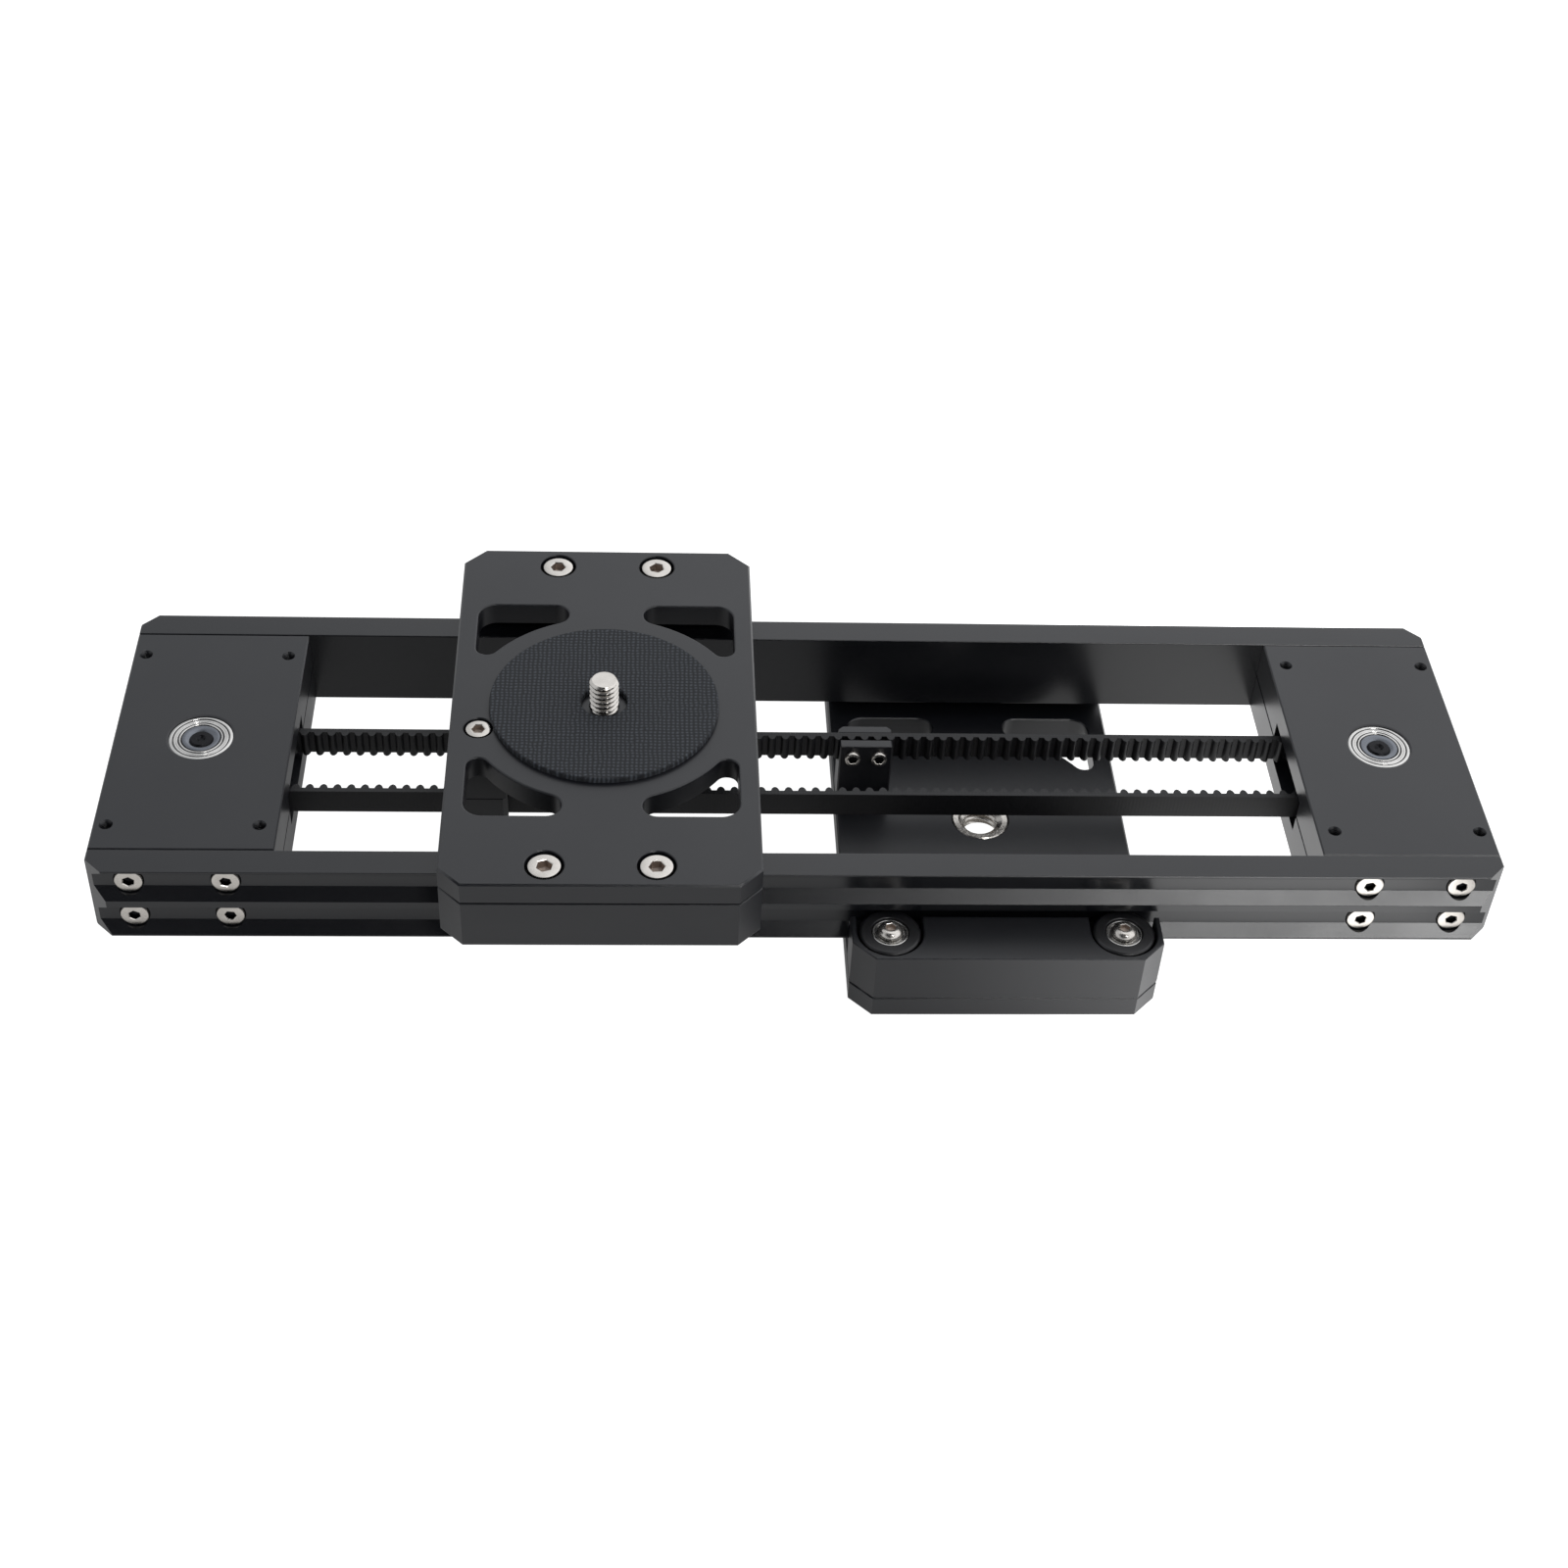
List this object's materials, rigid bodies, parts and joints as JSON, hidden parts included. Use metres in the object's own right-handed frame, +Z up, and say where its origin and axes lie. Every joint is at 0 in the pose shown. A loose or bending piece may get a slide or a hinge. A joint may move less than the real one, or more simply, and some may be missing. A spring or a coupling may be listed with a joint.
{
  "type": "camera slider",
  "caption": "Short camera slider with a rail on V-wheels between a tripod base and an upper carriage, coupled by a toothed belt so that the carriage travels twice as far as the rail.",
  "frame": {"origin": "on the surface that the base stands on, under the middle of the rail and of the whole object at rest", "axes": "+X along the rail, from the upper carriage's side to the base's side at rest; +Y from the front to the back; +Z up"},
  "size_m": [0.3, 0.111, 0.0464],
  "materials": {
    "anodised_aluminium": "black anodised over a fine blasted surface, satin, with brighter machined edges",
    "stainless_steel": "bright turned stainless steel screws, stud and bushing",
    "bearing_steel": "ground bearing rings with pressed shields",
    "belt_rubber": "matt black rubber with cut grey edges",
    "pad_rubber": "fine woven grip texture, matt dark blue-grey",
    "wheel_polymer": "turned black acetal",
    "pulley_aluminium": "natural machined aluminium"
  },
  "bodies": {
    "base": {"base_plate": "anodised_aluminium", "base_clamp_body": "anodised_aluminium", "base_clamp_plate": "anodised_aluminium", "base_clamp_screw": "stainless_steel", "base_block_back": "anodised_aluminium", "base_block_screw_back_left": "stainless_steel", "base_wheel_bolt_back_left": "stainless_steel", "base_block_screw_back_right": "stainless_steel", "base_wheel_bolt_back_right": "stainless_steel", "base_block_front": "anodised_aluminium", "base_block_screw_front_left": "stainless_steel", "base_wheel_bolt_front_left": "stainless_steel", "base_block_screw_front_right": "stainless_steel", "base_wheel_bolt_front_right": "stainless_steel", "tripod_bushing": "stainless_steel"},
    "rail": {"back_side_rail": "anodised_aluminium", "front_side_rail": "anodised_aluminium", "lower_end_plate_left": "anodised_aluminium", "lower_axle_bearing_left": "bearing_steel", "upper_end_plate_left": "anodised_aluminium", "upper_axle_bearing_left": "bearing_steel", "lower_end_plate_right": "anodised_aluminium", "lower_axle_bearing_right": "bearing_steel", "upper_end_plate_right": "anodised_aluminium", "upper_axle_bearing_right": "bearing_steel", "back_rail_screw_lower_left": "stainless_steel", "back_rail_screw_lower_right": "stainless_steel", "back_rail_screw_upper_left": "stainless_steel", "back_rail_screw_upper_right": "stainless_steel", "front_rail_screw_lower_left": "stainless_steel", "front_rail_screw_lower_right": "stainless_steel", "front_rail_screw_upper_left": "stainless_steel", "front_rail_screw_upper_right": "stainless_steel", "drive_belt": "belt_rubber"},
    "carriage": {"carriage_plate": "anodised_aluminium", "carriage_clamp_body": "anodised_aluminium", "carriage_clamp_plate": "anodised_aluminium", "carriage_clamp_screw": "stainless_steel", "carriage_block_back": "anodised_aluminium", "carriage_block_screw_back_left": "stainless_steel", "carriage_wheel_bolt_back_left": "stainless_steel", "carriage_block_screw_back_right": "stainless_steel", "carriage_wheel_bolt_back_right": "stainless_steel", "carriage_block_front": "anodised_aluminium", "carriage_block_screw_front_left": "stainless_steel", "carriage_wheel_bolt_front_left": "stainless_steel", "carriage_block_screw_front_right": "stainless_steel", "carriage_wheel_bolt_front_right": "stainless_steel", "camera_pad": "pad_rubber", "camera_stud": "stainless_steel"},
    "pulley_left": {"pulley_left": "pulley_aluminium"},
    "pulley_right": {"pulley_right": "pulley_aluminium"},
    "base_wheel_back_left": {"base_wheel_back_left": "wheel_polymer"},
    "base_wheel_back_right": {"base_wheel_back_right": "wheel_polymer"},
    "base_wheel_front_left": {"base_wheel_front_left": "wheel_polymer"},
    "base_wheel_front_right": {"base_wheel_front_right": "wheel_polymer"},
    "carriage_wheel_back_left": {"carriage_wheel_back_left": "wheel_polymer"},
    "carriage_wheel_back_right": {"carriage_wheel_back_right": "wheel_polymer"},
    "carriage_wheel_front_left": {"carriage_wheel_front_left": "wheel_polymer"},
    "carriage_wheel_front_right": {"carriage_wheel_front_right": "wheel_polymer"}
  },
  "joints": [
    {"name": "rail_slide", "type": "slide", "parent": "base", "child": "rail", "axis": [1, 0, 0], "range_m": [-0.034, 0.12], "deforming": ["drive_belt"]},
    {"name": "carriage_slide", "type": "slide", "parent": "rail", "child": "carriage", "axis": [1, 0, 0], "range_m": [-0.034, 0.12]},
    {"name": "pulley_left_turn", "type": "hinge", "parent": "rail", "child": "pulley_left", "pos_m": [-0.13125, 0, 0.0195], "axis": [0, 0, 1], "range_deg": [-206, 722]},
    {"name": "pulley_right_turn", "type": "hinge", "parent": "rail", "child": "pulley_right", "pos_m": [0.13125, 0, 0.0195], "axis": [0, 0, 1], "range_deg": [-206, 722]},
    {"name": "base_wheel_back_left_turn", "type": "hinge", "parent": "base", "child": "base_wheel_back_left", "pos_m": [0.018, 0.0474, 0.01452], "axis": [0, 0, 1], "range_deg": [-312, 1094]},
    {"name": "base_wheel_back_right_turn", "type": "hinge", "parent": "base", "child": "base_wheel_back_right", "pos_m": [0.068, 0.0474, 0.01452], "axis": [0, 0, 1], "range_deg": [-312, 1094]},
    {"name": "base_wheel_front_left_turn", "type": "hinge", "parent": "base", "child": "base_wheel_front_left", "pos_m": [0.018, -0.0474, 0.01452], "axis": [0, 0, 1], "range_deg": [-1094, 312]},
    {"name": "base_wheel_front_right_turn", "type": "hinge", "parent": "base", "child": "base_wheel_front_right", "pos_m": [0.068, -0.0474, 0.01452], "axis": [0, 0, 1], "range_deg": [-1094, 312]},
    {"name": "carriage_wheel_back_left_turn", "type": "hinge", "parent": "carriage", "child": "carriage_wheel_back_left", "pos_m": [-0.068, 0.0474, 0.02448], "axis": [0, 0, 1], "range_deg": [-1094, 312]},
    {"name": "carriage_wheel_back_right_turn", "type": "hinge", "parent": "carriage", "child": "carriage_wheel_back_right", "pos_m": [-0.018, 0.0474, 0.02448], "axis": [0, 0, 1], "range_deg": [-1094, 312]},
    {"name": "carriage_wheel_front_left_turn", "type": "hinge", "parent": "carriage", "child": "carriage_wheel_front_left", "pos_m": [-0.068, -0.0474, 0.02448], "axis": [0, 0, 1], "range_deg": [-312, 1094]},
    {"name": "carriage_wheel_front_right_turn", "type": "hinge", "parent": "carriage", "child": "carriage_wheel_front_right", "pos_m": [-0.018, -0.0474, 0.02448], "axis": [0, 0, 1], "range_deg": [-312, 1094]}
  ],
  "couplings": [
    {"joint": "carriage_slide", "follows": "rail_slide", "ratio": 1},
    {"joint": "pulley_left_turn", "follows": "rail_slide", "rad_per_m": 104.72},
    {"joint": "pulley_right_turn", "follows": "rail_slide", "rad_per_m": 104.72},
    {"joint": "base_wheel_back_left_turn", "follows": "rail_slide", "rad_per_m": 158.73},
    {"joint": "base_wheel_back_right_turn", "follows": "rail_slide", "rad_per_m": 158.73},
    {"joint": "base_wheel_front_left_turn", "follows": "rail_slide", "rad_per_m": -158.73},
    {"joint": "base_wheel_front_right_turn", "follows": "rail_slide", "rad_per_m": -158.73},
    {"joint": "carriage_wheel_back_left_turn", "follows": "rail_slide", "rad_per_m": -158.73},
    {"joint": "carriage_wheel_back_right_turn", "follows": "rail_slide", "rad_per_m": -158.73},
    {"joint": "carriage_wheel_front_left_turn", "follows": "rail_slide", "rad_per_m": 158.73},
    {"joint": "carriage_wheel_front_right_turn", "follows": "rail_slide", "rad_per_m": 158.73}
  ]
}
